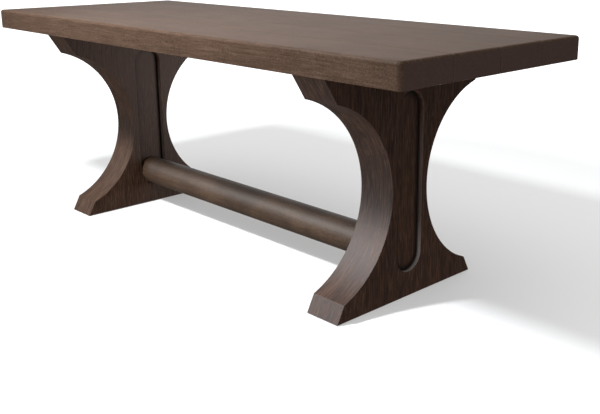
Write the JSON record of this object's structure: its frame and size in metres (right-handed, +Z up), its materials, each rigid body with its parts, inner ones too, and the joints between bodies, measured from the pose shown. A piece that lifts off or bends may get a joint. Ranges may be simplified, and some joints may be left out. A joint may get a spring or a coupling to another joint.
{
  "type": "trestle picnic table",
  "caption": "Heavy timber trestle table: a thick boarded top on a pair of waisted slab pedestals with long round-ended recesses, tied low down by a round stretcher bar.",
  "frame": {"origin": "on the ground, under the centre of the top", "axes": "+X along the length of the table, +Y across it towards the rear, +Z up; the front long side faces -Y"},
  "size_m": [2, 0.742, 0.74],
  "materials": {
    "top_timber": "oiled dark brown timber, satin",
    "pedestal_timber": "dark stained timber with fine streaky grain, satin",
    "stretcher_timber": "turned, oiled dark brown timber, satin",
    "joint_timber": "plain beech",
    "flat_steel": "black powder coat, satin",
    "fastener_steel": "zinc plated",
    "pad_polymer": "matt black polyamide"
  },
  "bodies": {
    "root": {"bar_screws": "fastener_steel", "barrel_nut_left": "fastener_steel", "barrel_nut_right": "fastener_steel", "bolt_plug_left": "pedestal_timber", "bolt_plug_right": "pedestal_timber", "bolt_washer_left": "fastener_steel", "bolt_washer_right": "fastener_steel", "coach_screws_left": "fastener_steel", "coach_screws_right": "fastener_steel", "cross_bar": "flat_steel", "foot_front_left": "pedestal_timber", "foot_front_right": "pedestal_timber", "foot_pad_front_left": "pad_polymer", "foot_pad_front_right": "pad_polymer", "foot_pad_rear_left": "pad_polymer", "foot_pad_rear_right": "pad_polymer", "foot_rear_left": "pedestal_timber", "foot_rear_right": "pedestal_timber", "horn_front_left": "pedestal_timber", "horn_front_right": "pedestal_timber", "horn_rear_left": "pedestal_timber", "horn_rear_right": "pedestal_timber", "pad_screws_front_left": "fastener_steel", "pad_screws_front_right": "fastener_steel", "pad_screws_rear_left": "fastener_steel", "pad_screws_rear_right": "fastener_steel", "plate_screws_left": "fastener_steel", "plate_screws_right": "fastener_steel", "post_left": "pedestal_timber", "post_right": "pedestal_timber", "seam_spline_1": "joint_timber", "seam_spline_2": "joint_timber", "seam_spline_3": "joint_timber", "stretcher": "stretcher_timber", "stretcher_bolt_left": "fastener_steel", "stretcher_bolt_right": "fastener_steel", "stretcher_pegs_left": "joint_timber", "stretcher_pegs_right": "joint_timber", "top_board_front": "top_timber", "top_board_front_middle": "top_timber", "top_board_rear": "top_timber", "top_board_rear_middle": "top_timber", "top_plate_left": "flat_steel", "top_plate_right": "flat_steel", "wing_dowels_left": "joint_timber", "wing_dowels_right": "joint_timber"}
  },
  "joints": []
}
